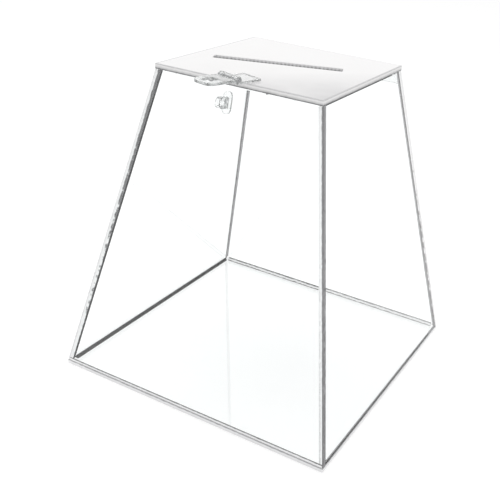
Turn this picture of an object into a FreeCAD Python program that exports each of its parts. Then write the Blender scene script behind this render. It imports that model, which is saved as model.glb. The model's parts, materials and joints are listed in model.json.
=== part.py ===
import FreeCAD, Part
import os
import re
import Sketcher

Vector = FreeCAD.Vector
Rotation = FreeCAD.Rotation
Placement = FreeCAD.Placement

doc = FreeCAD.newDocument("donation_box")

# Two lengths closer than this count as equal
NEAR = 0.01

# Driving sizes in millimetres and degrees
SIZES = {
    "base_width": 300,
    "lid_width": 172,
    "total_height": 316,
    "sheet": 5,
    "cement_gap": 0.1,
    "slot_length": 125,
    "slot_width": 12,
    "slot_turn": 21,
    "slot_centre_x": -7,
    "slot_corner": 1.5,
    "hasp_skew": 16,
    "hasp_x": -2,
    "hasp_overhang": 6,
    "hasp_width": 24,
    "hasp_tab": 6,
    "hasp_leaf_reach": 27,
    "hasp_leaf_thick": 2,
    "hasp_flap_reach": 33,
    "hasp_flap_thick": 2.4,
    "hasp_flap_corner": 8,
    "hasp_leaf_corner": 2,
    "hasp_rim": 2,
    "hasp_recess": 0.5,
    "eye_width": 10,
    "eye_near": 15,
    "eye_far": 28.8,
    "knuckle_radius": 3.5,
    "knuckle_gap": 0.3,
    "knuckle_root": 1,
    "pin_radius": 1.5,
    "pin_clearance": 0.05,
    "staple_drop": 19.5,
    "staple_offset": -2.4,
    "staple_foot_width": 9,
    "staple_foot_height": 20,
    "staple_foot_thick": 2.5,
    "staple_thick": 4.5,
    "staple_half_height": 5,
    "staple_flat": 0.1,
    "staple_eye_reach": 13,
    "staple_eye_radius": 3.2,
    "hinge_inset": 31,
    "hinge_length": 50,
    "hinge_tab": 8,
    "hinge_setback": 4,
    "hinge_leaf_thick": 2.5,
    "hinge_leaf_drop": 14,
    "hinge_bar_drop": 1,
}

sizes = doc.addObject("Spreadsheet::Sheet", "Sizes")
for row, (alias, value) in enumerate(SIZES.items(), start=1):
    sizes.set("A%d" % row, alias)
    sizes.set("B%d" % row, str(value))
    sizes.setAlias("B%d" % row, alias)
doc.recompute()


def put_in(formula):
    """Write each size name of a formula as a cell of the sheet."""
    return re.sub(r"[a-z_]+", lambda word: "Sizes." + word[0] if word[0] in SIZES else word[0], formula)


def number(formula):
    """Return the value of a formula in size names."""
    result = sizes.evalExpression(put_in(formula))
    return float(getattr(result, "Value", result))


def bind(target, **formulas):
    """Tie properties of a document object to formulas in size names."""
    for name, formula in formulas.items():
        target.setExpression(name, put_in(formula))


# Formulas that several pieces share
HALF_BASE = "base_width / 2"
HALF_LID = "lid_width / 2"
WALL_HEIGHT = "(total_height - 2 * sheet - 2 * cement_gap)"
LID_UNDERSIDE = "(total_height - sheet)"
WALL_RUN = "((base_width - lid_width) / 2)"
WALL_LEAN = "atan2(%s ; %s)" % (WALL_RUN, WALL_HEIGHT)
WALL_DEPTH = "(sheet * sqrt(1 + (%s / %s) ^ 2))" % (WALL_RUN, WALL_HEIGHT)
KNUCKLE_CLEAR = "(knuckle_radius + knuckle_gap)"
BORE_RADIUS = "(pin_radius + pin_clearance)"


def add_body(label):
    """Start a solid that is built from sketches."""
    body = doc.addObject("PartDesign::Body", label)
    body.Label = label
    return body


def add_sketch(body, name, role, height=None):
    """Put an empty sketch on one of the body's own planes, lifted along its normal."""
    drawing = body.newObject("Sketcher::SketchObject", name)
    plane = [item for item in body.Origin.OriginFeatures if item.Role == role][0]
    drawing.AttachmentSupport = [(plane, "")]
    drawing.MapMode = "FlatFace"
    if height is not None:
        drawing.setExpression(".AttachmentOffset.Base.z", put_in(height))
    return drawing


def hold(drawing, kind, element, point, formula):
    """Fix one coordinate of a sketch point by a formula."""
    index = drawing.addConstraint(Sketcher.Constraint(kind, -1, 1, element, point, number(formula)))
    drawing.setExpression("Constraints[%d]" % index, put_in(formula))


def draw_polygon(drawing, corners):
    """Draw a closed outline whose corners are pairs of formulas."""
    places = [Vector(number(across), number(up), 0) for across, up in corners]
    first = len(drawing.Geometry)
    count = len(corners)
    for step in range(count):
        drawing.addGeometry(Part.LineSegment(places[step], places[(step + 1) % count]), False)
    for step in range(count):
        following = (step + 1) % count
        drawing.addConstraint(Sketcher.Constraint("Coincident", first + step, 2, first + following, 1))
    for step, (across, up) in enumerate(corners):
        hold(drawing, "DistanceX", first + step, 1, across)
        hold(drawing, "DistanceY", first + step, 1, up)


def draw_circle(drawing, radius, across=None):
    """Draw a circle at the origin, or moved along the sketch's first axis."""
    centre = Vector(number(across or "0"), 0, 0)
    element = drawing.addGeometry(Part.Circle(centre, Vector(0, 0, 1), number(radius)), False)
    index = drawing.addConstraint(Sketcher.Constraint("Radius", element, number(radius)))
    drawing.setExpression("Constraints[%d]" % index, put_in(radius))
    if across is None:
        drawing.addConstraint(Sketcher.Constraint("Coincident", element, 3, -1, 1))
    else:
        drawing.addConstraint(Sketcher.Constraint("PointOnObject", element, 3, -1))
        hold(drawing, "DistanceX", element, 3, across)


def pad(body, drawing, length, midplane=False):
    """Raise a sketch into the body."""
    drawing.Visibility = False
    feature = body.newObject("PartDesign::Pad", drawing.Name + "_pad")
    feature.Profile = drawing
    feature.Midplane = midplane
    bind(feature, Length=length)
    doc.recompute()
    return feature


def cut(body, drawing, depth=None):
    """Cut a sketch into the body, right through unless a depth is given."""
    before = body.Shape.Volume
    feature = body.newObject("PartDesign::Pocket", drawing.Name + "_cut")
    feature.Profile = drawing
    if depth is None:
        feature.Type = "ThroughAll"
        feature.Midplane = True
    else:
        bind(feature, Length=depth)
    doc.recompute()
    if body.Shape.Volume > before - NEAR:
        raise RuntimeError(drawing.Name + " removed nothing")
    return feature


def round_edges(body, radius, chosen):
    """Round the edges of the body that a test picks out."""
    base = body.Tip
    names = ["Edge%d" % (place + 1) for place, edge in enumerate(base.Shape.Edges) if chosen(edge)]
    feature = body.newObject("PartDesign::Fillet", body.Name + "_round")
    feature.Base = (base, names)
    bind(feature, Radius=radius)
    doc.recompute()
    return feature


def upright_at(edge, across, up):
    """Tell whether an edge stands upright at a distance either side of the middle."""
    ends = [corner.Point for corner in edge.Vertexes]
    if len(ends) < 2:
        return False
    standing = abs(ends[0].x - ends[1].x) + abs(ends[0].y - ends[1].y) < NEAR
    return standing and abs(abs(ends[0].x) - across) < NEAR and abs(ends[0].y - up) < NEAR


def box_corners(half_across, low, high):
    """Corners of a rectangle that is even about the upright axis."""
    return [("-" + half_across, low), (half_across, low), (half_across, high), ("-" + half_across, high)]


# Flat base and four leaning walls
base = doc.addObject("Part::Box", "base_panel")
base.Label = "base_panel"
bind(base, Length="base_width", Width="base_width", Height="sheet")
bind(base, **{".Placement.Base.x": "-" + HALF_BASE, ".Placement.Base.y": "-" + HALF_BASE})


def add_wall(label, turn, inset):
    """Add a wall whose outer face leans in, cut level at foot and head, turned about the upright axis."""
    wall = doc.addObject("Part::Wedge", label)
    wall.Label = label
    foot = "(%s - %s)" % (HALF_BASE, inset)
    head = "(%s - %s)" % (HALF_LID, inset)
    bind(wall, Xmin="-" + foot, Xmax=foot, X2min="-" + head, X2max=head)
    bind(wall, Ymin="sheet + cement_gap", Ymax=LID_UNDERSIDE + " - cement_gap")
    bind(wall, Zmin="%s - %s" % (HALF_BASE, WALL_DEPTH), Zmax=HALF_BASE)
    bind(wall, Z2min="%s - %s" % (HALF_LID, WALL_DEPTH), Z2max=HALF_LID)
    upright = Rotation(Vector(1, 0, 0), 90)
    wall.Placement = Placement(Vector(0, 0, 0), Rotation(Vector(0, 0, 1), turn) * upright)


SIDE_INSET = "(%s + cement_gap)" % WALL_DEPTH
add_wall("front_panel", 0, "0")
add_wall("rear_panel", 180, "0")
add_wall("right_panel", 90, SIDE_INSET)
add_wall("left_panel", -90, SIDE_INSET)

# Flat lid with its slot across the middle
lid = add_body("lid")
outline = add_sketch(lid, "lid_outline", "XY_Plane")
draw_polygon(outline, box_corners(HALF_LID, "-" + HALF_LID, HALF_LID))
pad(lid, outline, "sheet")
opening = add_sketch(lid, "lid_slot", "XY_Plane")


def turned(along, over):
    """Place a point of the turned slot on the lid."""
    across = "slot_centre_x + %s * cos(slot_turn * 1 deg) - %s * sin(slot_turn * 1 deg)"
    up = "%s * sin(slot_turn * 1 deg) + %s * cos(slot_turn * 1 deg)"
    return across % (along, over), up % (along, over)


HALF_SLOT = "(slot_length / 2)"
HALF_GAP = "(slot_width / 2)"
slot_corners = []
for along_sign, over_sign in ((-1, -1), (1, -1), (1, 1), (-1, 1)):
    slot_corners.append(turned("(%d) * %s" % (along_sign, HALF_SLOT), "(%d) * %s" % (over_sign, HALF_GAP)))
draw_polygon(opening, slot_corners)
cut(lid, opening)


def in_slot(edge):
    """Tell whether an edge stands upright inside the slot."""
    ends = [corner.Point for corner in edge.Vertexes]
    standing = abs(ends[0].z - ends[1].z) > number("sheet") - NEAR
    return standing and max(abs(ends[0].x), abs(ends[0].y)) < number(HALF_LID) - NEAR


round_edges(lid, "slot_corner", in_slot)
bind(lid, **{".Placement.Base.z": LID_UNDERSIDE})


def add_knuckles(body, name, spans, radius_bore):
    """Add barrel pieces along the pin line and bore them for the pin; a span is start and length."""
    for count, (start, length) in enumerate(spans):
        ring = add_sketch(body, "%s_ring_%d" % (name, count), "YZ_Plane", start)
        draw_circle(ring, "knuckle_radius")
        pad(body, ring, length)
    bore = add_sketch(body, name + "_bore", "YZ_Plane")
    draw_circle(bore, radius_bore)
    cut(body, bore)


# Hasp: lid leaf with two outer knuckles, drawn with the pin line along X through its origin
HALF_HASP = "(hasp_width / 2)"
TAB_START = "(hasp_width / 2 - hasp_tab)"
hasp_leaf = add_body("hasp_lid_leaf")
leaf_outline = add_sketch(hasp_leaf, "leaf_outline", "XY_Plane", "-knuckle_radius")
leaf_corners = [
    ("-" + HALF_HASP, "-knuckle_root"),
    ("-" + TAB_START, "-knuckle_root"),
    ("-" + TAB_START, KNUCKLE_CLEAR),
    (TAB_START, KNUCKLE_CLEAR),
    (TAB_START, "-knuckle_root"),
    (HALF_HASP, "-knuckle_root"),
    (HALF_HASP, "hasp_leaf_reach"),
    ("-" + HALF_HASP, "hasp_leaf_reach"),
]
draw_polygon(leaf_outline, leaf_corners)
pad(hasp_leaf, leaf_outline, "hasp_leaf_thick")
round_edges(
    hasp_leaf,
    "hasp_leaf_corner",
    lambda edge: upright_at(edge, number(HALF_HASP), number("hasp_leaf_reach")),
)
leaf_dish = add_sketch(hasp_leaf, "leaf_dish", "XY_Plane", "hasp_leaf_thick - knuckle_radius")
INNER_HALF = "(hasp_width / 2 - hasp_rim)"
DISH_NEAR = KNUCKLE_CLEAR + " + hasp_rim"
draw_polygon(leaf_dish, box_corners(INNER_HALF, DISH_NEAR, "hasp_leaf_reach - hasp_rim"))
cut(hasp_leaf, leaf_dish, "hasp_recess")
add_knuckles(
    hasp_leaf,
    "leaf",
    [("-" + HALF_HASP, "hasp_tab"), (TAB_START, "hasp_tab")],
    BORE_RADIUS,
)

# Hasp: hinged flap with the middle knuckle, a rounded nose and the eye that drops over the staple
hasp_flap = add_body("hasp_flap")
FLAP_TAB = "(hasp_width / 2 - hasp_tab - knuckle_gap)"
flap_outline = add_sketch(hasp_flap, "flap_outline", "XY_Plane", "-hasp_flap_thick / 2")
flap_corners = [
    ("-" + HALF_HASP, "-hasp_flap_reach"),
    (HALF_HASP, "-hasp_flap_reach"),
    (HALF_HASP, "-" + KNUCKLE_CLEAR),
    (FLAP_TAB, "-" + KNUCKLE_CLEAR),
    (FLAP_TAB, "-pin_radius / 2"),
    ("-" + FLAP_TAB, "-pin_radius / 2"),
    ("-" + FLAP_TAB, "-" + KNUCKLE_CLEAR),
    ("-" + HALF_HASP, "-" + KNUCKLE_CLEAR),
]
draw_polygon(flap_outline, flap_corners)
pad(hasp_flap, flap_outline, "hasp_flap_thick")
round_edges(
    hasp_flap,
    "hasp_flap_corner",
    lambda edge: upright_at(edge, number(HALF_HASP), -number("hasp_flap_reach")),
)
eye = add_sketch(hasp_flap, "flap_eye", "XY_Plane")
draw_polygon(eye, box_corners("eye_width / 2", "-eye_far", "-eye_near"))
cut(hasp_flap, eye)
add_knuckles(hasp_flap, "flap", [("-" + FLAP_TAB, "2 * " + FLAP_TAB)], BORE_RADIUS)

# Both hasp leaves share one pin line, turned a little on the lid and just clear of its front edge
PIN_HEIGHT = "total_height + cement_gap + knuckle_radius"
PIN_FRONT = "-(lid_width / 2 + hasp_overhang)"


def place_on_pin(piece):
    """Carry a piece drawn about the origin to the hasp's pin line."""
    piece.Placement = Placement(Vector(0, 0, 0), Rotation(Vector(0, 0, -1), number("hasp_skew")))
    bind(piece, **{".Placement.Rotation.Angle": "hasp_skew * 1 deg"})
    bind(piece, **{".Placement.Base.x": "hasp_x", ".Placement.Base.y": PIN_FRONT})
    bind(piece, **{".Placement.Base.z": PIN_HEIGHT})


place_on_pin(hasp_leaf)
place_on_pin(hasp_flap)


def add_pin(label, length):
    """Start a pin drawn along X about the origin."""
    body = add_body(label)
    section = add_sketch(body, label + "_section", "YZ_Plane")
    draw_circle(section, "pin_radius")
    pad(body, section, length, midplane=True)
    return body


hasp_pin = add_pin("hasp_pin", "hasp_width")
place_on_pin(hasp_pin)

# Staple on the front wall: an oval foot and a rounded tongue with the padlock eye, drawn on its plane
staple = add_body("staple")
foot = add_sketch(staple, "staple_foot", "XZ_Plane")
HALF_FOOT = "(staple_foot_width / 2)"
FOOT_END = "(staple_foot_height / 2)"
draw_polygon(foot, box_corners(HALF_FOOT, "-" + FOOT_END, FOOT_END))
pad(staple, foot, "staple_foot_thick")


def foot_corner(edge):
    """Tell whether an edge runs through the thickness of the foot."""
    ends = [corner.Point for corner in edge.Vertexes]
    return abs(ends[0].y - ends[1].y) > number("staple_foot_thick") - NEAR


round_edges(staple, HALF_FOOT + " - staple_flat / 2", foot_corner)
tongue = add_sketch(staple, "staple_tongue", "YZ_Plane")
TONGUE_ROOT = "-staple_foot_thick / 2"
TONGUE_TIP = "-(staple_eye_reach + staple_half_height)"
tongue_corners = [
    (TONGUE_TIP, "-staple_half_height"),
    (TONGUE_ROOT, "-staple_half_height"),
    (TONGUE_ROOT, "staple_half_height"),
    (TONGUE_TIP, "staple_half_height"),
]
draw_polygon(tongue, tongue_corners)
pad(staple, tongue, "staple_thick", midplane=True)


def tongue_corner(edge):
    """Tell whether an edge runs across the tip of the tongue."""
    ends = [corner.Point for corner in edge.Vertexes]
    if len(ends) < 2:
        return False
    at_tip = all(abs(end.y - number(TONGUE_TIP)) < NEAR for end in ends)
    return at_tip and abs(ends[0].x - ends[1].x) > number("staple_thick") - NEAR


round_edges(staple, "staple_half_height - staple_flat / 2", tongue_corner)
padlock_eye = add_sketch(staple, "padlock_eye", "YZ_Plane")
draw_circle(padlock_eye, "staple_eye_radius", across="-staple_eye_reach")
cut(staple, padlock_eye)
STAPLE_HEIGHT = "(total_height - staple_drop)"
STAPLE_FALL = "(%s - cement_gap - %s)" % (LID_UNDERSIDE, STAPLE_HEIGHT)
STAPLE_OUT = "(lid_width / 2 + %s * %s / %s + cement_gap)" % (STAPLE_FALL, WALL_RUN, WALL_HEIGHT)
staple.Placement = Placement(Vector(0, 0, 0), Rotation(Vector(-1, 0, 0), number(WALL_LEAN)))
bind(staple, **{".Placement.Rotation.Angle": WALL_LEAN})
bind(staple, **{".Placement.Base.x": "hasp_x + staple_offset", ".Placement.Base.y": "-" + STAPLE_OUT})
bind(staple, **{".Placement.Base.z": STAPLE_HEIGHT})

# Two rear hinges, each drawn with its pin line along X through the origin
HALF_HINGE = "(hinge_length / 2)"
HINGE_TAB = "(hinge_length / 2 - hinge_tab)"
LID_TAB = "(hinge_length / 2 - hinge_tab - knuckle_gap)"
HINGE_BACK = "lid_width / 2 + hinge_setback"
BAR_TOP = "(sheet - hinge_bar_drop)"
WALL_AWAY = "(hinge_setback * cos(%s) - cement_gap)" % WALL_LEAN


def place_at_rear(piece, side):
    """Carry a piece to the pin line behind the lid, on the right for 1 and on the left for -1."""
    bind(piece, **{".Placement.Base.x": "%d * (lid_width / 2 - hinge_inset)" % side})
    bind(piece, **{".Placement.Base.y": HINGE_BACK, ".Placement.Base.z": LID_UNDERSIDE})


def add_wall_leaf(label, side):
    """Add the leaf that lies on the rear wall, with the two outer knuckles."""
    leaf = add_body(label)
    plate = add_sketch(leaf, label + "_plate", "XZ_Plane", WALL_AWAY + " - hinge_leaf_thick")
    corners = [
        ("-" + HALF_HINGE, "-hinge_leaf_drop"),
        (HALF_HINGE, "-hinge_leaf_drop"),
        (HALF_HINGE, "-knuckle_gap"),
        (HINGE_TAB, "-knuckle_gap"),
        (HINGE_TAB, "-" + KNUCKLE_CLEAR),
        ("-" + HINGE_TAB, "-" + KNUCKLE_CLEAR),
        ("-" + HINGE_TAB, "-knuckle_gap"),
        ("-" + HALF_HINGE, "-knuckle_gap"),
    ]
    draw_polygon(plate, corners)
    pad(leaf, plate, "hinge_leaf_thick")
    add_knuckles(leaf, label, [("-" + HALF_HINGE, "hinge_tab"), (HINGE_TAB, "hinge_tab")], BORE_RADIUS)
    leaf.Placement = Placement(Vector(0, 0, 0), Rotation(Vector(1, 0, 0), number(WALL_LEAN)))
    bind(leaf, **{".Placement.Rotation.Angle": WALL_LEAN})
    place_at_rear(leaf, side)


def add_edge_leaf(label, side):
    """Add the leaf that is cemented to the lid's rear edge, with the long middle knuckle."""
    leaf = add_body(label)
    bar = add_sketch(leaf, label + "_bar", "YZ_Plane")
    near = "-(hinge_setback - cement_gap)"
    far = "-(hinge_setback - hinge_leaf_thick)"
    draw_polygon(bar, [(near, "knuckle_gap"), (far, "knuckle_gap"), (far, BAR_TOP), (near, BAR_TOP)])
    pad(leaf, bar, "2 * " + LID_TAB, midplane=True)
    add_knuckles(leaf, label, [("-" + LID_TAB, "2 * " + LID_TAB)], BORE_RADIUS)
    place_at_rear(leaf, side)


for hand, side in (("right", 1), ("left", -1)):
    add_wall_leaf("hinge_wall_leaf_" + hand, side)
    add_edge_leaf("hinge_lid_leaf_" + hand, side)
    place_at_rear(add_pin("hinge_pin_" + hand, "hinge_length"), side)

# Check every piece and write it out
doc.recompute()
os.makedirs("parts", exist_ok=True)
for item in doc.Objects:
    if "Invalid" in item.State or "Error" in item.State:
        raise RuntimeError(item.Name + " did not build")
NODE_TYPES = ("PartDesign::Body", "Part::Box", "Part::Wedge")
for item in doc.Objects:
    if item.TypeId not in NODE_TYPES:
        continue
    if item.Shape.isNull() or not item.Shape.isValid() or len(item.Shape.Solids) != 1:
        raise RuntimeError(item.Label + " is not one sound solid")
    item.Shape.exportStep("parts/%s.step" % item.Label)
    print(item.Label, round(item.Shape.Volume), item.Shape.BoundBox)
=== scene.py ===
import json
import math

import bmesh
import bpy
import numpy as np
from bpy.props import FloatProperty, FloatVectorProperty, PointerProperty
from mathutils import Matrix, Vector


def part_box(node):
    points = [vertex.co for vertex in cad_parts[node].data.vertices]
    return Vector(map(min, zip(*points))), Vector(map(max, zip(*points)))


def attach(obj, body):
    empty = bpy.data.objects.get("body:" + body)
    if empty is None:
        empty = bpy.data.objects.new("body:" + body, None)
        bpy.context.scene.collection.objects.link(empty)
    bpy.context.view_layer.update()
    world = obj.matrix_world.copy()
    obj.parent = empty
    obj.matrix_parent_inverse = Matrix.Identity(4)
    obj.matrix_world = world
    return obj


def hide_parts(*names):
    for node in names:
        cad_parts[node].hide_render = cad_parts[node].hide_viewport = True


bl_info = {
    "name": "Clear acrylic donation box",
    "version": (1, 0, 0),
    "blender": (4, 5, 0),
    "location": "3D View > Sidebar > Donation box",
    "description": "Looks and studio for a leaning-walled acrylic donation box with a hinged lid and a hasp",
    "category": "Object",
}

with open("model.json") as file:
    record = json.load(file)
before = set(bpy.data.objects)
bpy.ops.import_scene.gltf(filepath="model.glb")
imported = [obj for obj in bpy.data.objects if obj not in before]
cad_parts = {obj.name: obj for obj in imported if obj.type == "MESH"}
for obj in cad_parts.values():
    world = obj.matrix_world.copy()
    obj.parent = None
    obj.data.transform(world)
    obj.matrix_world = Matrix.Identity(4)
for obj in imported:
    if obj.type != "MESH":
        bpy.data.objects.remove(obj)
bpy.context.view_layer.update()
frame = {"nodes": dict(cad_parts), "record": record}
NODES = frame["nodes"]

MM = 0.001
WHITE = (1.0, 1.0, 1.0, 1.0)
ACRYLIC_IOR = 1.49
CEMENT_IOR = 1.48

# Share of lamp and sky light that passes each kind of clear surface
SHEET_LIGHT = 0.99
MOULDING_LIGHT = 0.96
EDGE_LIGHT = 0.9

# A noise texture seldom leaves these values
NOISE_RANGE = {"From Min": 0.3, "From Max": 0.7}

# Places of a colour Mix node's sockets
MIX_SHARE, MIX_FIRST, MIX_SECOND, MIX_RESULT = 0, 6, 7, 2

# One band of a wave texture is this long at a scale of 1
WAVE_UNIT = math.tau / 20


def linear(hex_colour):
    """Turn an sRGB hex colour into linear red, green, blue and a solid alpha."""
    shares = [int(hex_colour[place:place + 2], 16) / 255 for place in (1, 3, 5)]
    light = [share / 12.92 if share <= 0.04045 else ((share + 0.055) / 1.055) ** 2.4 for share in shares]
    return (*light, 1.0)


def colour_property(label, words, hex_colour):
    """A colour that the panel shows, from its hex value."""
    return FloatVectorProperty(name=label, description=words, subtype="COLOR", default=linear(hex_colour)[:3])


def length_property(label, words, metres):
    """A length that the panel shows, in metres."""
    return FloatProperty(name=label, description=words, default=metres, unit="LENGTH", precision=4)


def angle_property(label, words, degrees):
    """An angle that the panel shows, from degrees."""
    return FloatProperty(name=label, description=words, default=math.radians(degrees), subtype="ANGLE")


class BoxSettings(bpy.types.PropertyGroup):
    """Sizes and colours of the box's finish."""

    arris: length_property("Arris", "Width of the broken edge round each sheet", 0.6 * MM)
    soft_edge: length_property("Soft edge", "Width of the rounded edges of lid and mouldings", 0.3 * MM)
    bead: length_property("Cement bead", "Leg of the cement line in each inner corner", 1.6 * MM)
    sheet_tint: colour_property("Sheet", "Tint of the clear cast sheet", "#FEFFFF")
    # Painted light: the cut edges' grey lines and pale core stand in for light bent and trapped in the clear
    # sheet, and the edge colour near the lid is painted shade.
    edge_pale: colour_property("Edge, pale", "Middle of a cut edge", "#F5F5F6")
    edge_mid: colour_property("Edge, grey line", "Lighter grey line in a cut edge", "#A8A8AA")
    edge_dark: colour_property("Edge, dark line", "Darker grey line in a cut edge", "#6E6E70")
    edge_painted_shade: colour_property("Edge near the lid", "Shade of the cut edges towards the lid", "#CFCFD0")
    weld: colour_property("Joint", "Cemented joint, seen through the sheet", "#3C3B3D")
    cement_dark: colour_property("Dark cement", "Cement that was run thick and has set dark", "#121113")
    lid_white: colour_property("Lid", "Opal white of the lid", "#ECEBEB")
    # Painted shade: the lid is painted darker, in patches, towards its front right corner.
    lid_painted_shade: colour_property("Handled lid", "White of the lid at the corner where it is lifted", "#D0CFD0")
    # Painted shade: the grey of the slot's and the lid's sawn walls, also painted as a line along the lid's
    # rim.
    lid_cut_painted_shade: colour_property("Lid cuts", "Sawn walls of the slot and the lid's edges", "#C4C4C5")
    moulding: colour_property("Moulding", "Clear moulded hasp leaf, staple and hinges", "#FBFCFC")
    # The flap's clear colour is a greyer white than the other mouldings'.
    flap_grey: colour_property("Flap", "Clear moulded flap, greyed by handling", "#E8E9E9")
    # Painted shade: the thick sides of the clear mouldings are painted grey, standing in for light bent in
    # their thickness.
    hasp_side: colour_property("Hasp sides", "Thick sides of the hasp's leaf and flap", "#C3C5C5")
    moulding_side: colour_property("Moulding sides", "Thick sides of the staple and hinges", "#A9ABAB")
    steel: colour_property("Pins", "Drawn steel wire", "#B9BABC")


class StageSettings(bpy.types.PropertyGroup):
    """Camera and floor."""

    azimuth: angle_property("Azimuth", "Turn to the right of the front", 26.39)
    elevation: angle_property("Elevation", "Downward slope of the view", 26.13)
    roll: angle_property("Roll", "Tilt about the view line", 5.03)
    place: FloatVectorProperty(
        name="Camera", description="Camera place", default=(0.3623, -0.6619, 0.4917), subtype="TRANSLATION"
    )
    lens: FloatProperty(name="Lens", description="Focal length for a 36 mm sensor, in mm", default=57.21)
    shift: FloatProperty(
        name="Shift", description="Sideways shift of the picture, in picture widths", default=-0.1
    )
    floor: colour_property("Floor", "Pale studio floor", "#FCFCFC")


def settings():
    """The box's settings in this scene."""
    return bpy.context.scene.donation_box


def stage_settings():
    """The stage's settings in this scene."""
    return bpy.context.scene.donation_stage


def opaque(colour):
    """A colour property with a solid alpha, as shader sockets need it."""
    return (*colour, 1.0)


def add_node(tree, kind, values=None, links=None, stops=(), **choices):
    """Add a shader node, make its choices, set its sockets, link its inputs and fill its colour stops."""
    made = tree.nodes.new(kind)
    for name, choice in choices.items():
        setattr(made, name, choice)
    for socket, value in (values or {}).items():
        made.inputs[socket].default_value = value
    for socket, source in (links or {}).items():
        tree.links.new(source, made.inputs[socket])
    if stops:
        band = made.color_ramp
        while len(band.elements) < len(stops):
            band.elements.new(0.5)
        for element, (place, colour) in zip(band.elements, stops):
            element.position = place
            element.color = colour
    return made


def empty_material(name):
    """A material with nothing but an output."""
    material = bpy.data.materials.new(name)
    material.use_nodes = True
    tree = material.node_tree
    tree.nodes.clear()
    return material, tree, add_node(tree, "ShaderNodeOutputMaterial")


def let_lamps_through(tree, output, shader, share):
    """Show the shader, but pass a share of lamp and sky light so that clear walls cast a pale shadow."""
    path = add_node(tree, "ShaderNodeLightPath")
    lighting = add_node(
        tree,
        "ShaderNodeMath",
        links={0: path.outputs["Is Shadow Ray"], 1: path.outputs["Is Diffuse Ray"]},
        operation="MAXIMUM",
    )
    through = add_node(tree, "ShaderNodeBsdfTransparent", {"Color": (share, share, share, 1)})
    mixed = add_node(
        tree,
        "ShaderNodeMixShader",
        links={0: lighting.outputs[0], 1: shader.outputs[0], 2: through.outputs[0]},
    )
    tree.links.new(mixed.outputs[0], output.inputs["Surface"])


def seen_share(tree, share):
    """A number: share for what the camera sees, straight or by gloss or glass, and nought for light."""
    path = add_node(tree, "ShaderNodeLightPath")
    direct = add_node(
        tree,
        "ShaderNodeMath",
        links={0: path.outputs["Is Camera Ray"], 1: path.outputs["Is Glossy Ray"]},
        operation="MAXIMUM",
    )
    seen = add_node(
        tree,
        "ShaderNodeMath",
        links={0: direct.outputs[0], 1: path.outputs["Is Transmission Ray"]},
        operation="MAXIMUM",
    )
    scaled = add_node(tree, "ShaderNodeMath", {1: share}, {0: seen.outputs[0]}, operation="MULTIPLY")
    return scaled.outputs[0]


# Cast acrylic sheet, polished: almost unseen on white, with a sharp gloss and faint wiping smears
def cast_acrylic():
    smear_size = 45 * MM
    material, tree, output = empty_material("cast acrylic sheet, polished")
    place = add_node(tree, "ShaderNodeTexCoord")
    smear = add_node(
        tree,
        "ShaderNodeTexNoise",
        {"Scale": 1 / smear_size, "Detail": 3.0},
        {"Vector": place.outputs["Object"]},
    )
    gloss = add_node(
        tree,
        "ShaderNodeMapRange",
        {"From Min": 0.35, "From Max": 0.75, "To Min": 0.0, "To Max": 0.03},
        {"Value": smear.outputs["Fac"]},
    )
    shader = add_node(
        tree,
        "ShaderNodeBsdfPrincipled",
        {"Base Color": opaque(settings().sheet_tint), "IOR": ACRYLIC_IOR, "Transmission Weight": 1.0},
        {"Roughness": gloss.outputs["Result"]},
    )
    let_lamps_through(tree, output, shader, SHEET_LIGHT)
    return material


# Cut edge of acrylic: grey lines beside a pale core are painted, standing in for light trapped in the sheet,
# and the lines change, patch by patch, on the way from the foot to the lid, to painted lines and painted
# shade near the lid
def cut_edge(name, clearness, low_bands, high_bands):
    grain_size = 5 * MM
    sway = 0.08
    patch_strength = 5.0
    change_start, change_end = 0.25, 0.55
    material, tree, output = empty_material(name)
    place = add_node(tree, "ShaderNodeTexCoord")
    grain = add_node(
        tree,
        "ShaderNodeTexNoise",
        {"Scale": 1 / grain_size, "Detail": 4.0},
        {"Vector": place.outputs["Object"]},
    )
    across = add_node(tree, "ShaderNodeSeparateXYZ", links={"Vector": place.outputs["UV"]})
    drift = add_node(
        tree,
        "ShaderNodeMapRange",
        {**NOISE_RANGE, "To Min": -sway, "To Max": sway},
        {"Value": grain.outputs["Fac"]},
    )
    wavy = add_node(
        tree, "ShaderNodeMath", links={0: across.outputs["Y"], 1: drift.outputs["Result"]}, operation="ADD"
    )
    foot, head = [
        add_node(
            tree,
            "ShaderNodeValToRGB",
            links={"Fac": wavy.outputs[0]},
            stops=[(depth, opaque(getattr(settings(), shade))) for depth, shade in bands],
        )
        for bands in (low_bands, high_bands)
    ]
    # Painted light: towards the lid the foot's bands turn, in patches, to the head's, which paint the shade
    # and lines the edge shows there.
    spot = add_node(tree, "ShaderNodeSeparateXYZ", links={"Vector": place.outputs["Object"]})
    low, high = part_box("front_panel")
    rise = add_node(
        tree, "ShaderNodeMapRange", {"From Min": low.z, "From Max": high.z}, {"Value": spot.outputs["Z"]}
    )
    patchy = add_node(
        tree,
        "ShaderNodeMath",
        {1: patch_strength},
        {0: drift.outputs["Result"], 2: rise.outputs["Result"]},
        operation="MULTIPLY_ADD",
    )
    change = add_node(
        tree,
        "ShaderNodeMapRange",
        {"From Min": change_start, "From Max": change_end},
        {"Value": patchy.outputs[0]},
    )
    shown = add_node(
        tree,
        "ShaderNodeMix",
        links={
            MIX_SHARE: change.outputs["Result"],
            MIX_FIRST: foot.outputs["Color"],
            MIX_SECOND: head.outputs["Color"],
        },
        data_type="RGBA",
    )
    shader = add_node(
        tree,
        "ShaderNodeBsdfPrincipled",
        {"IOR": ACRYLIC_IOR, "Roughness": 0.22, "Transmission Weight": clearness},
        {"Base Color": shown.outputs[MIX_RESULT]},
    )
    let_lamps_through(tree, output, shader, EDGE_LIGHT)
    return material


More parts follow.
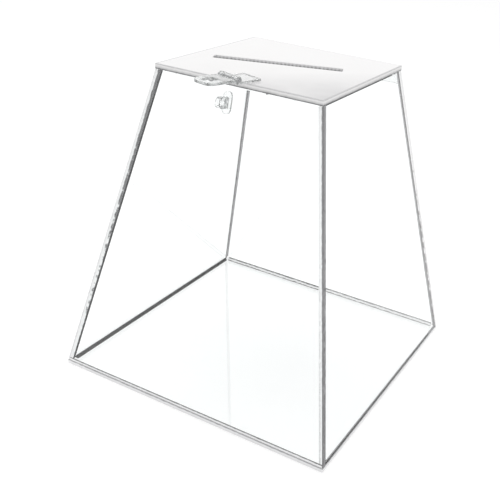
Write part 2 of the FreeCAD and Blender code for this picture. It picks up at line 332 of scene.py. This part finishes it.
# Sheets welded with solvent: a grey film that is darker where the cement has wetted both faces
def welded_joint():
    wet_patch = 12 * MM
    material, tree, output = empty_material("acrylic joint, solvent welded")
    place = add_node(tree, "ShaderNodeTexCoord")
    wetting = add_node(
        tree,
        "ShaderNodeTexNoise",
        {"Scale": 1 / wet_patch, "Detail": 4.0},
        {"Vector": place.outputs["Object"]},
    )
    film, dry = opaque(settings().weld), opaque(settings().edge_dark)
    shown = add_node(
        tree, "ShaderNodeValToRGB", links={"Fac": wetting.outputs["Fac"]}, stops=[(0.45, film), (0.7, dry)]
    )
    shader = add_node(
        tree,
        "ShaderNodeBsdfPrincipled",
        {"IOR": ACRYLIC_IOR, "Roughness": 0.3},
        {"Base Color": shown.outputs["Color"]},
    )
    let_lamps_through(tree, output, shader, EDGE_LIGHT)
    return material


# Solvent cement set in the inner corners: a hollow face with a line where it thins out on each sheet
def set_cement(name, middle, line):
    bubble_size = 6 * MM
    sway = 0.1
    material, tree, output = empty_material(name)
    place = add_node(tree, "ShaderNodeTexCoord")
    across = add_node(tree, "ShaderNodeSeparateXYZ", links={"Vector": place.outputs["UV"]})
    bubbles = add_node(
        tree,
        "ShaderNodeTexNoise",
        {"Scale": 1 / bubble_size, "Detail": 3.0},
        {"Vector": place.outputs["Object"]},
    )
    drift = add_node(
        tree,
        "ShaderNodeMapRange",
        {**NOISE_RANGE, "To Min": -sway, "To Max": sway},
        {"Value": bubbles.outputs["Fac"]},
    )
    wavy = add_node(
        tree, "ShaderNodeMath", links={0: across.outputs["Y"], 1: drift.outputs["Result"]}, operation="ADD"
    )
    bands = add_node(
        tree,
        "ShaderNodeValToRGB",
        links={"Fac": wavy.outputs[0]},
        stops=[(0.2, line), (0.3, middle), (0.68, middle), (0.78, line)],
    )
    shader = add_node(
        tree,
        "ShaderNodeBsdfPrincipled",
        {"IOR": CEMENT_IOR, "Roughness": 0.12, "Transmission Weight": 0.2},
        {"Base Color": bands.outputs["Color"]},
    )
    let_lamps_through(tree, output, shader, EDGE_LIGHT)
    return material


# Opal acrylic lid: milky white under a hard gloss, with painted shade in patches towards the front right
# corner, a painted grey line along its rim that stands in for light bent at the edge, sawn edges painted grey
# with shade, and slot walls that are painted darker with the slot's shade and keep the marks of the saw's
# teeth
def opal_acrylic():
    saw_mark = 4 * MM
    saw_tooth = 3.5 * MM
    haze_size = 60 * MM
    rim_width = 2 * MM
    low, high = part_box("lid")
    white, corner_shade = opaque(settings().lid_white), opaque(settings().lid_painted_shade)
    cut, dark = opaque(settings().lid_cut_painted_shade), opaque(settings().edge_dark)
    material, tree, output = empty_material("opal acrylic sheet, gloss")
    place = add_node(tree, "ShaderNodeTexCoord")
    facing = add_node(tree, "ShaderNodeSeparateXYZ", links={"Vector": place.outputs["Normal"]})
    flat = add_node(tree, "ShaderNodeMath", links={0: facing.outputs["Z"]}, operation="ABSOLUTE")
    spot = add_node(tree, "ShaderNodeSeparateXYZ", links={"Vector": place.outputs["Object"]})
    sideways = add_node(tree, "ShaderNodeMath", links={0: spot.outputs["X"]}, operation="ABSOLUTE")
    lengthways = add_node(tree, "ShaderNodeMath", links={0: spot.outputs["Y"]}, operation="ABSOLUTE")
    outward = add_node(
        tree, "ShaderNodeMath", links={0: sideways.outputs[0], 1: lengthways.outputs[0]}, operation="MAXIMUM"
    )

    # Sawn walls: painted shade and a painted highlight by height, swayed by the saw and, inside the rim,
    # painted darker with the slot's shade and marked by its teeth
    saw = add_node(
        tree,
        "ShaderNodeTexNoise",
        {"Scale": 1 / saw_mark, "Detail": 4.0},
        {"Vector": place.outputs["Object"]},
    )
    sway = add_node(
        tree, "ShaderNodeMapRange", {"To Min": -0.1, "To Max": 0.1}, {"Value": saw.outputs["Fac"]}
    )
    teeth = add_node(
        tree,
        "ShaderNodeTexWave",
        {"Scale": WAVE_UNIT / saw_tooth, "Distortion": 1.0},
        {"Vector": place.outputs["Object"]},
    )
    teeth_and_slot_shade = add_node(
        tree, "ShaderNodeMapRange", {"To Min": -0.38, "To Max": -0.26}, {"Value": teeth.outputs["Fac"]}
    )
    in_slot = add_node(
        tree, "ShaderNodeMath", {1: high.x - rim_width}, {0: outward.outputs[0]}, operation="LESS_THAN"
    )
    uneven = add_node(
        tree,
        "ShaderNodeMath",
        links={0: teeth_and_slot_shade.outputs["Result"], 1: in_slot.outputs[0], 2: sway.outputs["Result"]},
        operation="MULTIPLY_ADD",
    )
    level = add_node(
        tree, "ShaderNodeMapRange", {"From Min": low.z, "From Max": high.z}, {"Value": spot.outputs["Z"]}
    )
    wavy = add_node(
        tree, "ShaderNodeMath", links={0: level.outputs["Result"], 1: uneven.outputs[0]}, operation="ADD"
    )
    sawn = add_node(
        tree,
        "ShaderNodeValToRGB",
        links={"Fac": wavy.outputs[0]},
        stops=[(0.12, dark), (0.3, cut), (0.7, white), (0.93, cut)],
    )

    # Broad faces: white, with painted shade in patches towards the front right corner, and a painted grey
    # line at the rim
    haze = add_node(
        tree,
        "ShaderNodeTexNoise",
        {"Scale": 1 / haze_size, "Detail": 2.0},
        {"Vector": place.outputs["Object"]},
    )
    patches = add_node(
        tree,
        "ShaderNodeMapRange",
        {**NOISE_RANGE, "To Min": 1.0, "To Max": 0.2},
        {"Value": haze.outputs["Fac"]},
    )
    cornerwise = add_node(
        tree, "ShaderNodeMath", links={0: spot.outputs["X"], 1: spot.outputs["Y"]}, operation="SUBTRACT"
    )
    greyish = add_node(
        tree,
        "ShaderNodeMapRange",
        {"From Min": 0.5 * high.x, "From Max": 1.6 * high.x},
        {"Value": cornerwise.outputs[0]},
    )
    painted_shade_patches = add_node(
        tree,
        "ShaderNodeMath",
        links={0: patches.outputs["Result"], 1: greyish.outputs["Result"]},
        operation="MULTIPLY",
    )
    cast = add_node(
        tree, "ShaderNodeValToRGB", links={"Fac": painted_shade_patches.outputs[0]}, stops=[(0.0, white), (0.6, corner_shade)]
    )
    rim = add_node(
        tree,
        "ShaderNodeMapRange",
        {"From Min": high.x - 0.9 * rim_width, "From Max": high.x - 0.4 * rim_width},
        {"Value": outward.outputs[0]},
    )
    face = add_node(
        tree,
        "ShaderNodeMix",
        {MIX_SECOND: cut},
        {MIX_SHARE: rim.outputs["Result"], MIX_FIRST: cast.outputs["Color"]},
        data_type="RGBA",
    )

    shown = add_node(
        tree,
        "ShaderNodeMix",
        links={
            MIX_SHARE: flat.outputs[0],
            MIX_FIRST: sawn.outputs["Color"],
            MIX_SECOND: face.outputs[MIX_RESULT],
        },
        data_type="RGBA",
    )
    gloss = add_node(
        tree,
        "ShaderNodeMapRange",
        {**NOISE_RANGE, "To Min": 0.05, "To Max": 0.12},
        {"Value": haze.outputs["Fac"]},
    )
    shader = add_node(
        tree,
        "ShaderNodeBsdfPrincipled",
        {"IOR": ACRYLIC_IOR},
        {"Base Color": shown.outputs[MIX_RESULT], "Roughness": gloss.outputs["Result"]},
    )
    tree.links.new(shader.outputs[0], output.inputs["Surface"])
    return material


# Clear moulded acrylic: glassy faces across the named axis, and sides painted grey as shade, standing in for
# light seen through their thickness, both streaked by the way the plastic flowed
def moulded_acrylic(name, axis, face_colour, side_colour):
    flow_size = 3 * MM
    material, tree, output = empty_material(name)
    place = add_node(tree, "ShaderNodeTexCoord")
    facing = add_node(tree, "ShaderNodeSeparateXYZ", links={"Vector": place.outputs["Normal"]})
    broad = add_node(tree, "ShaderNodeMath", links={0: facing.outputs[axis]}, operation="ABSOLUTE")
    flow = add_node(
        tree,
        "ShaderNodeTexNoise",
        {"Scale": 1 / flow_size, "Detail": 2.0},
        {"Vector": place.outputs["Object"]},
    )
    streak = add_node(
        tree,
        "ShaderNodeMapRange",
        {**NOISE_RANGE, "To Min": -0.3, "To Max": 0.8},
        {"Value": flow.outputs["Fac"]},
    )
    share = add_node(
        tree, "ShaderNodeMath", links={0: broad.outputs[0], 1: streak.outputs["Result"]}, operation="ADD"
    )
    shown = add_node(
        tree,
        "ShaderNodeValToRGB",
        links={"Fac": share.outputs[0]},
        stops=[(0.15, opaque(side_colour)), (0.85, opaque(face_colour))],
    )
    shader = add_node(
        tree,
        "ShaderNodeBsdfPrincipled",
        {"IOR": ACRYLIC_IOR, "Roughness": 0.04, "Transmission Weight": 0.88},
        {"Base Color": shown.outputs["Color"]},
    )
    let_lamps_through(tree, output, shader, MOULDING_LIGHT)
    return material


# Drawn stainless wire: bright metal with fine lines along its length, drawn coarser than real ones to show
def drawn_steel():
    line_width = 0.6 * MM
    along_wire = 0.05
    material, tree, output = empty_material("stainless wire, drawn")
    place = add_node(tree, "ShaderNodeTexCoord")
    stretch = add_node(
        tree, "ShaderNodeMapping", {"Scale": (along_wire, 1.0, 1.0)}, {"Vector": place.outputs["Object"]}
    )
    lines = add_node(
        tree, "ShaderNodeTexNoise", {"Scale": 1 / line_width, "Detail": 2.0}, {"Vector": stretch.outputs[0]}
    )
    rough = add_node(
        tree, "ShaderNodeMapRange", {"To Min": 0.2, "To Max": 0.42}, {"Value": lines.outputs["Fac"]}
    )
    shader = add_node(
        tree,
        "ShaderNodeBsdfPrincipled",
        {"Base Color": opaque(settings().steel), "Metallic": 1.0},
        {"Roughness": rough.outputs["Result"]},
    )
    tree.links.new(shader.outputs[0], output.inputs["Surface"])
    return material


# Matt white studio floor: it lights up a little for what is seen, so that it fades into the white world
def matt_floor():
    glow_strength = 0.1
    material, tree, output = empty_material("studio floor, matt white")
    shader = add_node(tree, "ShaderNodeBsdfDiffuse", {"Color": opaque(stage_settings().floor)})
    glow = add_node(
        tree, "ShaderNodeEmission", {"Color": WHITE}, {"Strength": seen_share(tree, glow_strength)}
    )
    both = add_node(tree, "ShaderNodeAddShader", links={0: shader.outputs[0], 1: glow.outputs[0]})
    tree.links.new(both.outputs[0], output.inputs["Surface"])
    return material


def put_mesh(name, points, faces, materials, face_slots=None, face_maps=None):
    """Make an object at the origin from whole arrays of points and faces."""
    mesh = bpy.data.meshes.new(name)
    mesh.from_pydata(points.tolist(), [], faces)
    for material in materials:
        mesh.materials.append(material)
    if face_slots is not None:
        mesh.polygons.foreach_set("material_index", np.asarray(face_slots, dtype=np.int32))
    if face_maps is not None:
        chart = mesh.uv_layers.new(name="UVMap")
        chart.data.foreach_set("uv", np.concatenate(face_maps).astype(np.float32).ravel())
    mesh.validate()
    mesh.update()
    made = bpy.data.objects.new(name, mesh)
    bpy.context.scene.collection.objects.link(made)
    return made


def turn_about_z(points, degrees):
    """Turn points about the upright axis."""
    angle = math.radians(degrees)
    sine, cosine = math.sin(angle), math.cos(angle)
    spin = np.array([[cosine, -sine, 0], [sine, cosine, 0], [0, 0, 1]])
    return points @ spin.T


def wall_sizes():
    """Half widths, depth and heights of the leaning walls, read from the frame."""
    low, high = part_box("front_panel")
    lid_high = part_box("lid")[1]
    side_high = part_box("right_panel")[1]
    return {
        "foot": high.x,
        "head": lid_high.x,
        "depth": lid_high.x - abs(high.y),
        "low": low.z,
        "high": high.z,
        "side_inset": high.x - side_high.y,
    }


def inset(corners, distance):
    """Move each side of a flat four-cornered outline inwards by a distance.

    Each corner goes along both of its sides by the distance over the sine of the corner's angle.
    """
    ahead = np.roll(corners, -1, axis=0) - corners
    behind = np.roll(corners, 1, axis=0) - corners
    ahead /= np.linalg.norm(ahead, axis=1, keepdims=True)
    behind /= np.linalg.norm(behind, axis=1, keepdims=True)
    sine = np.linalg.norm(np.cross(ahead, behind), axis=1, keepdims=True)
    return corners + (ahead + behind) * distance / sine


def sheet_mesh(name, outer, inner, arris, materials, side_slots):
    """A flat sheet with broken edges: four rings of corners from the outer face to the inner one.

    The first and last rings are the two faces drawn in by the arris, and the middle two are the cut edge.
    The edge's map runs along the sheet's rim in u and through its thickness in v. Each side, counted from
    the outline's first corner, takes the material slot that side_slots gives it.
    """
    thickness = np.linalg.norm(inner[0] - outer[0])
    through = (inner - outer) * (arris / thickness)
    rings = np.stack([inset(outer, arris), outer + through, inner - through, inset(inner, arris)])
    count = outer.shape[0]
    points = rings.reshape(-1, 3)
    depth = np.array([0.0, arris / thickness, 1 - arris / thickness, 1.0])
    along = np.concatenate([[0.0], np.cumsum(np.linalg.norm(np.roll(outer, -1, axis=0) - outer, axis=1))])
    faces = [list(range(count)), list(range(4 * count - 1, 3 * count - 1, -1))]
    maps = [np.zeros((count, 2)), np.zeros((count, 2))]
    slots = [CLEAR, CLEAR]
    for ring in range(3):
        for corner in range(count):
            following = (corner + 1) % count
            faces.append([
                ring * count + following,
                ring * count + corner,
                (ring + 1) * count + corner,
                (ring + 1) * count + following,
            ])
            start, end = along[corner], along[corner + 1]
            near, far = depth[ring], depth[ring + 1]
            maps.append(np.array([[end, near], [start, near], [start, far], [end, far]]))
            slots.append(side_slots[corner])
    return put_mesh(name, points, faces, materials, slots, maps)


# Finishes of a sheet's faces and ends, in the order of its material slots
CLEAR, CUT, WELD, OPEN, BUTT, PALE, BARE, THIN, FADE, BASE = range(10)

# Share of light that passes straight through a cut edge: a little, or none where the edge is lit all over
GLASSY, LIT = 0.15, 0.0

# Painted lines and pale cores through a cut edge's thickness, standing in for the light each edge shows, from
# the sheet's outer face to its inner one, at foot and head
CUT_BANDS = (
    ((0.0, "edge_mid"), (0.14, "edge_pale"), (0.74, "edge_pale"), (0.9, "edge_dark")),
    ((0.0, "edge_mid"), (0.14, "edge_painted_shade"), (0.74, "edge_painted_shade"), (0.9, "edge_dark")),
)
OPEN_BANDS = (
    ((0.0, "edge_dark"), (0.7, "edge_dark"), (1.0, "edge_mid")),
    ((0.0, "edge_dark"), (1.0, "edge_mid")),
)
BUTT_BANDS = (
    ((0.1, "edge_dark"), (0.25, "sheet_tint"), (0.75, "sheet_tint"), (0.9, "edge_mid")),
    ((0.5, "edge_mid"), (0.65, "sheet_tint")),
)
PALE_BANDS = (
    ((0.0, "sheet_tint"), (0.68, "sheet_tint"), (0.8, "weld")),
    ((0.0, "sheet_tint"), (0.3, "sheet_tint"), (0.45, "edge_dark")),
)
BARE_BANDS = (
    ((0.0, "edge_pale"), (1.0, "edge_pale")),
    ((0.0, "sheet_tint"), (1.0, "sheet_tint")),
)
THIN_BANDS = (
    ((0.0, "edge_mid"), (0.5, "edge_mid"), (0.65, "edge_dark")),
    ((0.0, "sheet_tint"), (0.45, "sheet_tint"), (0.6, "edge_dark")),
)
FADE_BANDS = (CUT_BANDS[0], BARE_BANDS[1])
BASE_BANDS = (((0.0, "edge_painted_shade"), (0.14, "edge_pale"), (0.74, "edge_pale"), (0.9, "edge_mid")),) * 2

# Each wall's turn about the upright axis, whether it stands between two others, and the finish of its foot,
# right end, head and left end as seen from outside; the finishes differ, edge by edge, in painted lines and
# painted shade
WALLS = {
    "front_panel": (0, False, (CUT, OPEN, CLEAR, BARE)),
    "right_panel": (90, True, (CLEAR, THIN, CLEAR, BUTT)),
    "rear_panel": (180, False, (CUT, CUT, CLEAR, FADE)),
    "left_panel": (-90, True, (WELD, PALE, CLEAR, WELD)),
}


def place_sheet(name, outer, inner, finish, sides):
    """Stand a sheet with broken edges in for a panel of the box."""
    piece = sheet_mesh(name + "_sheet", outer, inner, settings().arris, finish, sides)
    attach(piece, "box")
    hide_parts(name)


class BOX_OT_walls(bpy.types.Operator):
    """Build the clear base and the four leaning walls with broken edges"""

    bl_idname = "donation.walls"
    bl_label = "Clear sheets"

    def execute(self, context):
        finish = [
            cast_acrylic(),
            cut_edge("cut acrylic edge, machine polished", GLASSY, *CUT_BANDS),
            welded_joint(),
            cut_edge("cut acrylic edge at an open corner, machine polished", GLASSY, *OPEN_BANDS),
            cut_edge("cut acrylic edge butted to a sheet, cemented", LIT, *BUTT_BANDS),
            cut_edge("cut acrylic edge painted as lit, machine polished", LIT, *PALE_BANDS),
            cut_edge("cut acrylic edge, painted plain", LIT, *BARE_BANDS),
            cut_edge("cut acrylic edge, cemented thinly towards the lid", LIT, *THIN_BANDS),
            cut_edge("cut acrylic edge, painted plain towards the lid", GLASSY, *FADE_BANDS),
            cut_edge("cut acrylic edge of the base, machine polished", GLASSY, *BASE_BANDS),
        ]
        size = wall_sizes()
        for name, (turn, between, sides) in WALLS.items():
            cut = size["side_inset"] if between else 0.0
            foot, head = size["foot"] - cut, size["head"] - cut
            outer = np.array([
                [-foot, -size["foot"], size["low"]],
                [foot, -size["foot"], size["low"]],
                [head, -size["head"], size["high"]],
                [-head, -size["head"], size["high"]],
            ])
            inner = outer + np.array([0.0, size["depth"], 0.0])
            place_sheet(name, turn_about_z(outer, turn), turn_about_z(inner, turn), finish, sides)
        low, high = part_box("base_panel")
        under = np.array([
            [low.x, low.y, low.z], [low.x, high.y, low.z], [high.x, high.y, low.z], [high.x, low.y, low.z]
        ])
        over = under + np.array([0, 0, high.z - low.z])
        place_sheet("base_panel", under, over, finish, (BASE,) * 4)
        return {"FINISHED"}


BEAD_STEPS = 6
CEMENT_CLEARANCE = 0.05 * MM

# Turn of each wall about the upright axis, then its floor bead and the bead at its right-hand corner: a share
# of the common bead and how the cement has set, since each joint was run by hand
BEADS = (
    (0, 0.35, "faint", 0.5, "unseen"),
    (90, 0.35, "clear", 1.2, "milky"),
    (180, 2.3, "clear", 1.2, "milky"),
    (-90, 2.0, "dark", 1.2, "grey"),
)


def bead_mesh(name, start, end, one_way, other_way, leg, material):
    """A straight bead of cement: a hollow-faced corner section carried from start to end.

    The section's corner lies on the path, its legs run along the two walls, and its face is a quarter
    circle that bends in towards the corner, centred where the two leg ends' normals meet. The map's v runs
    across the face from one leg to the other.
    """
    turn = np.linspace(0.0, math.pi / 2, BEAD_STEPS)[:, None]
    face = (1 - np.sin(turn)) * one_way + (1 - np.cos(turn)) * other_way
    section = np.vstack([np.zeros((1, 3)), face]) * leg
    count = section.shape[0]
    points = np.vstack([start + section, end + section])
    ring = np.arange(count)
    ahead = np.roll(ring, -1)
    sides = np.stack([ring, ahead, ahead + count, ring + count], axis=1).tolist()
    faces = sides + [ring[::-1].tolist(), (ring + count).tolist()]
    marks = np.linspace(0.0, 1.0, BEAD_STEPS)
    near, far = np.append(0.0, marks), np.append(marks, 1.0)
    none, whole = np.zeros(count), np.ones(count)
    charts = np.stack([none, near, none, far, whole, far, whole, near], axis=1).reshape(-1, 2)
    return put_mesh(name, points, faces, [material], face_maps=[charts, np.zeros((2 * count, 2))])


def add_bead(name, turn, ends, ways, leg, material):
    """Put one bead in the box, turned to its wall."""
    start, end = turn_about_z(np.array(ends), turn)
    one_way, other_way = turn_about_z(np.array(ways), turn)
    piece = bead_mesh(name, start, end, one_way, other_way, leg, material)
    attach(piece, "box")


class BOX_OT_cement(bpy.types.Operator):
    """Run a bead of cement along each inner corner of the box"""

    bl_idname = "donation.cement"
    bl_label = "Cement beads"

    def execute(self, context):
        box = settings()
        clear, weld, mid, dark = map(opaque, (box.sheet_tint, box.weld, box.edge_mid, box.cement_dark))
        cements = {
            "unseen": set_cement("solvent cement, set water clear", clear, clear),
            "clear": set_cement("solvent cement, set clear", clear, weld),
            "faint": set_cement("solvent cement, set clear and wiped", clear, mid),
            "milky": set_cement("solvent cement, set milky", mid, mid),
            "grey": set_cement("solvent cement, set grey", weld, weld),
            "dark": set_cement("solvent cement, run thick and set dark", dark, dark),
        }
        size = wall_sizes()
        gap = CEMENT_CLEARANCE
        foot, head = size["foot"] - size["depth"] - gap, size["head"] - size["depth"] - gap
        low, high = size["low"] + gap, size["high"] - gap
        rise = np.array([0.0, head - foot, high - low])
        up_wall = rise * np.array([1, -1, 1]) / np.linalg.norm(rise)
        inwards, leftwards = [0.0, 1.0, 0.0], [-1.0, 0.0, 0.0]
        for count, (turn, floor_share, floor_set, corner_share, corner_set) in enumerate(BEADS):
            floor_leg, corner_leg = floor_share * box.bead, corner_share * box.bead
            ends = [[-foot + floor_leg, -foot, low], [foot - floor_leg, -foot, low]]
            add_bead("cement_floor_%d" % count, turn, ends, [inwards, up_wall], floor_leg, cements[floor_set])
            ends = [[foot, -foot, low + floor_leg], [head, -head, high]]
            ways = [inwards, leftwards]
            add_bead("cement_corner_%d" % count, turn, ends, ways, corner_leg, cements[corner_set])
        return {"FINISHED"}


SHARP = math.radians(40)
FLAT = math.radians(0.5)
MERGE = 0.001 * MM
ROUNDING_STEPS = 2


def soften(names, material):
    """Stand copies with rounded edges in for CAD nodes.

    Each copy's loose triangles are merged and flat neighbours joined, and every edge sharper than the limit
    is rounded.
    """
    bodies = frame["record"]["behaviour"]["bodies"]
    for name in names:
        shape = bmesh.new()
        shape.from_mesh(NODES[name].data)
        bmesh.ops.remove_doubles(shape, verts=shape.verts, dist=MERGE)
        bmesh.ops.dissolve_limit(shape, angle_limit=FLAT, verts=shape.verts, edges=shape.edges)
        mesh = bpy.data.meshes.new(name + "_finished")
        shape.to_mesh(mesh)
        shape.free()
        mesh.materials.clear()
        mesh.materials.append(material)
        mesh.shade_smooth()
        mesh.set_sharp_from_angle(angle=SHARP)
        piece = bpy.data.objects.new(name + "_finished", mesh)
        bpy.context.scene.collection.objects.link(piece)
        bevel = piece.modifiers.new("rounded edges", "BEVEL")
        bevel.width = settings().soft_edge
        bevel.segments = ROUNDING_STEPS
        bevel.limit_method = "ANGLE"
        bevel.angle_limit = SHARP
        bevel.use_clamp_overlap = False
        bevel.harden_normals = True
        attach(piece, [body for body, nodes in bodies.items() if name in nodes][0])
        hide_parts(name)


def dress(names, material):
    """Give CAD nodes one material."""
    for name in names:
        for slot in NODES[name].material_slots:
            slot.link = "OBJECT"
            slot.material = material


class BOX_OT_lid(bpy.types.Operator):
    """Finish the white lid"""

    bl_idname = "donation.lid"
    bl_label = "Opal lid"

    def execute(self, context):
        soften(["lid"], opal_acrylic())
        return {"FINISHED"}


class BOX_OT_fittings(bpy.types.Operator):
    """Finish the hasp, the staple, the hinges and their pins"""

    bl_idname = "donation.fittings"
    bl_label = "Moulded fittings"

    def execute(self, context):
        box = settings()
        standing = [name for name in NODES if name.startswith("hinge") and "leaf" in name] + ["staple"]
        pins = [name for name in NODES if "pin" in name]
        lying = moulded_acrylic("clear acrylic, moulded to lie flat", "Z", box.moulding, box.hasp_side)
        greyish = moulded_acrylic("clear acrylic, moulded and handled", "Z", box.flap_grey, box.hasp_side)
        upright = moulded_acrylic(
            "clear acrylic, moulded to stand on a wall", "Y", box.moulding, box.moulding_side
        )
        soften(["hasp_lid_leaf"], lying)
        soften(["hasp_flap"], greyish)
        soften(standing, upright)
        dress(pins, drawn_steel())
        return {"FINISHED"}


FLOOR_REACH = 4.0
FLOOR_DROP = 0.2 * MM
SKY_LIGHT = 0.9

# The world's shade by the height of a direction: white, with one dark band
FLAG = (0.12, 0.12, 0.12, 1.0)
SKY_STOPS = ((0.25, WHITE), (0.3, FLAG), (0.4, FLAG), (0.45, WHITE))

LAMP_SIZE = 1.2
LAMP_POWER = 7.0
LAMP_PLACE = (-0.3, 0.2, 1.9)
LAMP_AIM = (0.0, 0.0, 0.15)
SENSOR_WIDTH = 36.0


def add_floor():
    """A wide flat floor just under the base."""
    turns = np.array([[-1, -1, 0], [1, -1, 0], [1, 1, 0], [-1, 1, 0]])
    corners = turns * FLOOR_REACH - np.array([0, 0, FLOOR_DROP])
    floor = put_mesh("studio_floor", corners, [[0, 1, 2, 3]], [matt_floor()])


def add_world(scene):
    """White all round, with one dark band above the horizon that the lid's gloss and clear edges pick up."""
    world = bpy.data.worlds.new("studio")
    scene.world = world
    world.use_nodes = True
    tree = world.node_tree
    tree.nodes.clear()
    output = add_node(tree, "ShaderNodeOutputWorld")
    place = add_node(tree, "ShaderNodeTexCoord")
    way = add_node(tree, "ShaderNodeSeparateXYZ", links={"Vector": place.outputs["Generated"]})
    sky = add_node(tree, "ShaderNodeValToRGB", links={"Fac": way.outputs["Z"]}, stops=SKY_STOPS)
    soft = add_node(tree, "ShaderNodeBackground", {"Color": WHITE, "Strength": SKY_LIGHT})
    studio = add_node(tree, "ShaderNodeBackground", {"Strength": 1.0}, {"Color": sky.outputs["Color"]})
    shown = add_node(
        tree,
        "ShaderNodeMixShader",
        links={0: seen_share(tree, 1.0), 1: soft.outputs[0], 2: studio.outputs[0]},
    )
    tree.links.new(shown.outputs[0], output.inputs["Surface"])


def add_lamp(scene):
    """One broad soft lamp above the box, a little to its left and behind it."""
    lamp = bpy.data.lights.new("softbox", "AREA")
    lamp.shape = "SQUARE"
    lamp.size = LAMP_SIZE
    lamp.energy = LAMP_POWER
    made = bpy.data.objects.new("softbox", lamp)
    made.location = LAMP_PLACE
    made.rotation_euler = (Vector(LAMP_AIM) - made.location).to_track_quat("-Z", "Y").to_euler()
    scene.collection.objects.link(made)


def add_camera(scene):
    """A camera at the fitted place, turned by azimuth, elevation and roll."""
    view = stage_settings()
    az, el, roll = view.azimuth, view.elevation, view.roll
    forward = Vector((-math.sin(az) * math.cos(el), math.cos(az) * math.cos(el), -math.sin(el)))
    right = Vector((math.cos(az), math.sin(az), 0))
    up = right.cross(forward)
    across = right * math.cos(roll) + up * math.sin(roll)
    upward = up * math.cos(roll) - right * math.sin(roll)
    turn = Matrix((across, upward, -forward)).transposed().to_4x4()
    lens = bpy.data.cameras.new("photo_camera")
    lens.lens = view.lens
    lens.sensor_width = SENSOR_WIDTH
    lens.shift_x = view.shift
    made = bpy.data.objects.new("photo_camera", lens)
    made.matrix_world = Matrix.Translation(view.place) @ turn
    scene.collection.objects.link(made)
    scene.camera = made


class BOX_OT_stage(bpy.types.Operator):
    """Set the pale floor, the studio light and the camera"""

    bl_idname = "donation.stage"
    bl_label = "Stage"

    def execute(self, context):
        scene = context.scene
        scene.view_settings.view_transform = "Standard"
        add_floor()
        add_world(scene)
        add_lamp(scene)
        add_camera(scene)
        return {"FINISHED"}


STEPS = (BOX_OT_walls, BOX_OT_cement, BOX_OT_lid, BOX_OT_fittings, BOX_OT_stage)


class BOX_PT_panel(bpy.types.Panel):
    """Buttons for each part of the box, with its sizes and colours"""

    bl_idname = "BOX_PT_panel"
    bl_label = "Donation box"
    bl_space_type = "VIEW_3D"
    bl_region_type = "UI"
    bl_category = "Donation box"

    def draw(self, context):
        for step in STEPS:
            self.layout.operator(step.bl_idname)
        for group in (settings(), stage_settings()):
            for name in group.__annotations__:
                self.layout.prop(group, name)


CLASSES = (BoxSettings, StageSettings, *STEPS, BOX_PT_panel)


def register():
    """Make the classes and settings known to Blender."""
    for item in CLASSES:
        bpy.utils.register_class(item)
    bpy.types.Scene.donation_box = PointerProperty(type=BoxSettings)
    bpy.types.Scene.donation_stage = PointerProperty(type=StageSettings)


def unregister():
    """Take the classes and settings away again."""
    del bpy.types.Scene.donation_stage
    del bpy.types.Scene.donation_box
    for item in reversed(CLASSES):
        bpy.utils.unregister_class(item)


def main():
    """Build everything in order."""
    register()
    bpy.ops.donation.walls()
    bpy.ops.donation.cement()
    bpy.ops.donation.lid()
    bpy.ops.donation.fittings()
    bpy.ops.donation.stage()


if __name__ == "__main__":
    main()
